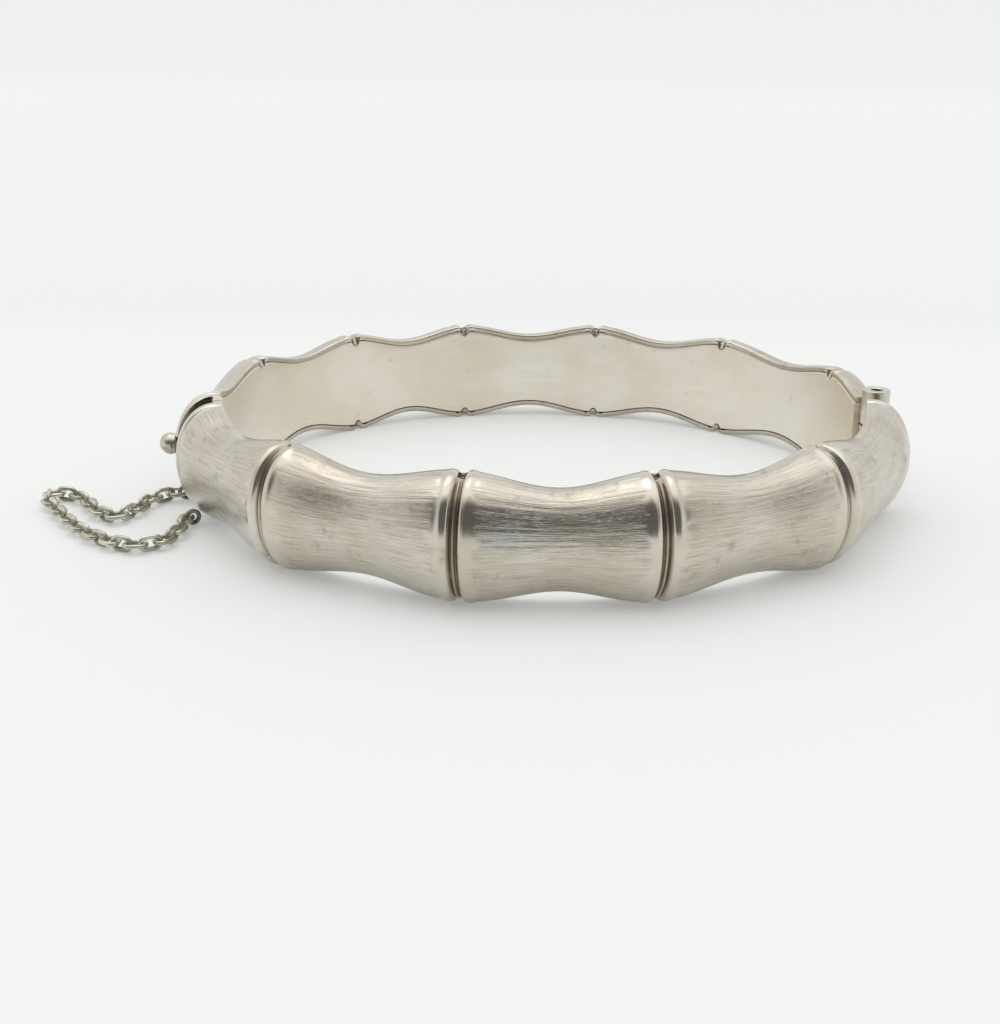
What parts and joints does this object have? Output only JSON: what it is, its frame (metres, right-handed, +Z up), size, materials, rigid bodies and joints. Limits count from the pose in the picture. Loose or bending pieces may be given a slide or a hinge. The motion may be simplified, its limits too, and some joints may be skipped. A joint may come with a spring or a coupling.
{
  "type": "hinged bangle bracelet",
  "caption": "Oval hinged bangle with bamboo-segment walls and engraved bark finish, smooth liner, knuckle hinge, sprung tongue clasp with ball thumb-piece, and safety chain.",
  "frame": {"origin": "the middle of the bangle's inner oval, on the surface that the bangle stands on, on its edge", "axes": "+X along the oval's long axis from the clasp towards the hinge, +Y from the front section towards the back section, +Z up, along the wrist in wear"},
  "size_m": [0.0805, 0.0599, 0.0107],
  "materials": {
    "bark_silver": "fine engraved bark lines, polished node rims, dark patina in the grooves",
    "polished_silver": "polished silver, lightly worn",
    "satin_silver": "satin silver, slightly yellowed",
    "tarnished_silver": "tarnished silver"
  },
  "bodies": {
    "front_section": {"front_shell": "bark_silver", "front_liner": "satin_silver", "front_hinge_plate": "polished_silver", "front_clasp_plate": "polished_silver", "front_stop_lug": "polished_silver", "middle_knuckle": "polished_silver", "middle_knuckle_leaf": "polished_silver", "tongue_base": "polished_silver", "tongue_fold": "polished_silver", "front_chain_loop": "tarnished_silver"},
    "back_section": {"back_shell": "bark_silver", "back_liner": "satin_silver", "back_hinge_plate": "polished_silver", "back_clasp_mouth": "polished_silver", "back_stop_lug": "polished_silver", "lower_knuckle": "polished_silver", "upper_knuckle": "polished_silver", "hinge_pin": "tarnished_silver", "back_chain_loop": "tarnished_silver"},
    "clasp_spring": {"spring_leaf": "polished_silver", "thumb_piece": "polished_silver"},
    "chain_run_01": {"chain_link_01": "tarnished_silver", "chain_link_02": "tarnished_silver", "chain_link_03": "tarnished_silver", "chain_link_04": "tarnished_silver"},
    "chain_run_02": {"chain_link_05": "tarnished_silver", "chain_link_06": "tarnished_silver", "chain_link_07": "tarnished_silver", "chain_link_08": "tarnished_silver"},
    "chain_run_03": {"chain_link_09": "tarnished_silver", "chain_link_10": "tarnished_silver", "chain_link_11": "tarnished_silver", "chain_link_12": "tarnished_silver"},
    "chain_run_04": {"chain_link_13": "tarnished_silver", "chain_link_14": "tarnished_silver", "chain_link_15": "tarnished_silver", "chain_link_16": "tarnished_silver"},
    "chain_run_05": {"chain_link_17": "tarnished_silver", "chain_link_18": "tarnished_silver", "chain_link_19": "tarnished_silver", "chain_link_20": "tarnished_silver"},
    "chain_run_06": {"chain_link_21": "tarnished_silver", "chain_link_22": "tarnished_silver", "chain_link_23": "tarnished_silver", "chain_link_24": "tarnished_silver"},
    "chain_run_07": {"chain_link_25": "tarnished_silver", "chain_link_26": "tarnished_silver", "chain_link_27": "tarnished_silver", "chain_link_28": "tarnished_silver"},
    "chain_run_08": {"chain_link_29": "tarnished_silver", "chain_link_30": "tarnished_silver", "chain_link_31": "tarnished_silver", "chain_link_32": "tarnished_silver"},
    "chain_run_09": {"chain_link_33": "tarnished_silver", "chain_link_34": "tarnished_silver"},
    "chain_ring": {"chain_end_ring": "tarnished_silver"}
  },
  "joints": [
    {"name": "main_hinge", "type": "hinge", "parent": "front_section", "child": "back_section", "pos_m": [0.03139, -0.00048, 0.00525], "axis": [0, 0, -1], "range_deg": [0, 26]},
    {"name": "thumb_press", "type": "hinge", "parent": "front_section", "child": "clasp_spring", "pos_m": [-0.03166, -0.00105, 0.00525], "axis": [0, 0, 1], "range_deg": [0, 4], "stiffness_Nm_per_rad": 0.1},
    {"name": "chain_turn_01", "type": "hinge", "parent": "front_section", "child": "chain_run_01", "pos_m": [-0.03164, -0.01123, 0.00075], "axis": [0, 0, 1], "range_deg": [-117.91, 1]},
    {"name": "chain_turn_02", "type": "hinge", "parent": "chain_run_01", "child": "chain_run_02", "pos_m": [-0.032, -0.01626, 0.00075], "axis": [0, 0, 1], "range_deg": [-1, 29.68]},
    {"name": "chain_turn_03", "type": "hinge", "parent": "chain_run_02", "child": "chain_run_03", "pos_m": [-0.03633, -0.01736, 0.00075], "axis": [0, 0, 1], "range_deg": [-1, 39.83]},
    {"name": "chain_turn_04", "type": "hinge", "parent": "chain_run_03", "child": "chain_run_04", "pos_m": [-0.04022, -0.01413, 0.00075], "axis": [0, 0, 1], "range_deg": [-1, 12.22]},
    {"name": "chain_turn_05", "type": "hinge", "parent": "chain_run_04", "child": "chain_run_05", "pos_m": [-0.04339, -0.01016, 0.00075], "axis": [0, 0, 1], "range_deg": [-1, 11.28]},
    {"name": "chain_turn_06", "type": "hinge", "parent": "chain_run_05", "child": "chain_run_06", "pos_m": [-0.04576, -0.00574, 0.00075], "axis": [0, 0, 1], "range_deg": [-1, 97.38]},
    {"name": "chain_turn_07", "type": "hinge", "parent": "chain_run_06", "child": "chain_run_07", "pos_m": [-0.04161, -0.00753, 0.00075], "axis": [0, 0, 1], "range_deg": [-1, 8.85]},
    {"name": "chain_turn_08", "type": "hinge", "parent": "chain_run_07", "child": "chain_run_08", "pos_m": [-0.03822, -0.0112, 0.00075], "axis": [0, 0, 1], "range_deg": [-54.47, 1]},
    {"name": "chain_turn_09", "type": "hinge", "parent": "chain_run_08", "child": "chain_run_09", "pos_m": [-0.03622, -0.00673, 0.00075], "axis": [0, 0, 1], "range_deg": [-1, 13.75]},
    {"name": "chain_turn_10", "type": "hinge", "parent": "chain_run_09", "child": "chain_ring", "pos_m": [-0.03457, -0.00482, 0.00075], "axis": [0, 0, 1], "range_deg": [-1, 3.85]}
  ],
  "couplings": [
    {"joint": "chain_turn_01", "follows": "main_hinge", "ratio": -4.4966},
    {"joint": "chain_turn_02", "follows": "main_hinge", "ratio": 1.103},
    {"joint": "chain_turn_03", "follows": "main_hinge", "ratio": 1.4934},
    {"joint": "chain_turn_04", "follows": "main_hinge", "ratio": 0.4317},
    {"joint": "chain_turn_05", "follows": "main_hinge", "ratio": 0.3954},
    {"joint": "chain_turn_06", "follows": "main_hinge", "ratio": 3.7068},
    {"joint": "chain_turn_07", "follows": "main_hinge", "ratio": 0.3018},
    {"joint": "chain_turn_08", "follows": "main_hinge", "ratio": -2.0566},
    {"joint": "chain_turn_09", "follows": "main_hinge", "ratio": 0.4904},
    {"joint": "chain_turn_10", "follows": "main_hinge", "ratio": 0.1097}
  ]
}
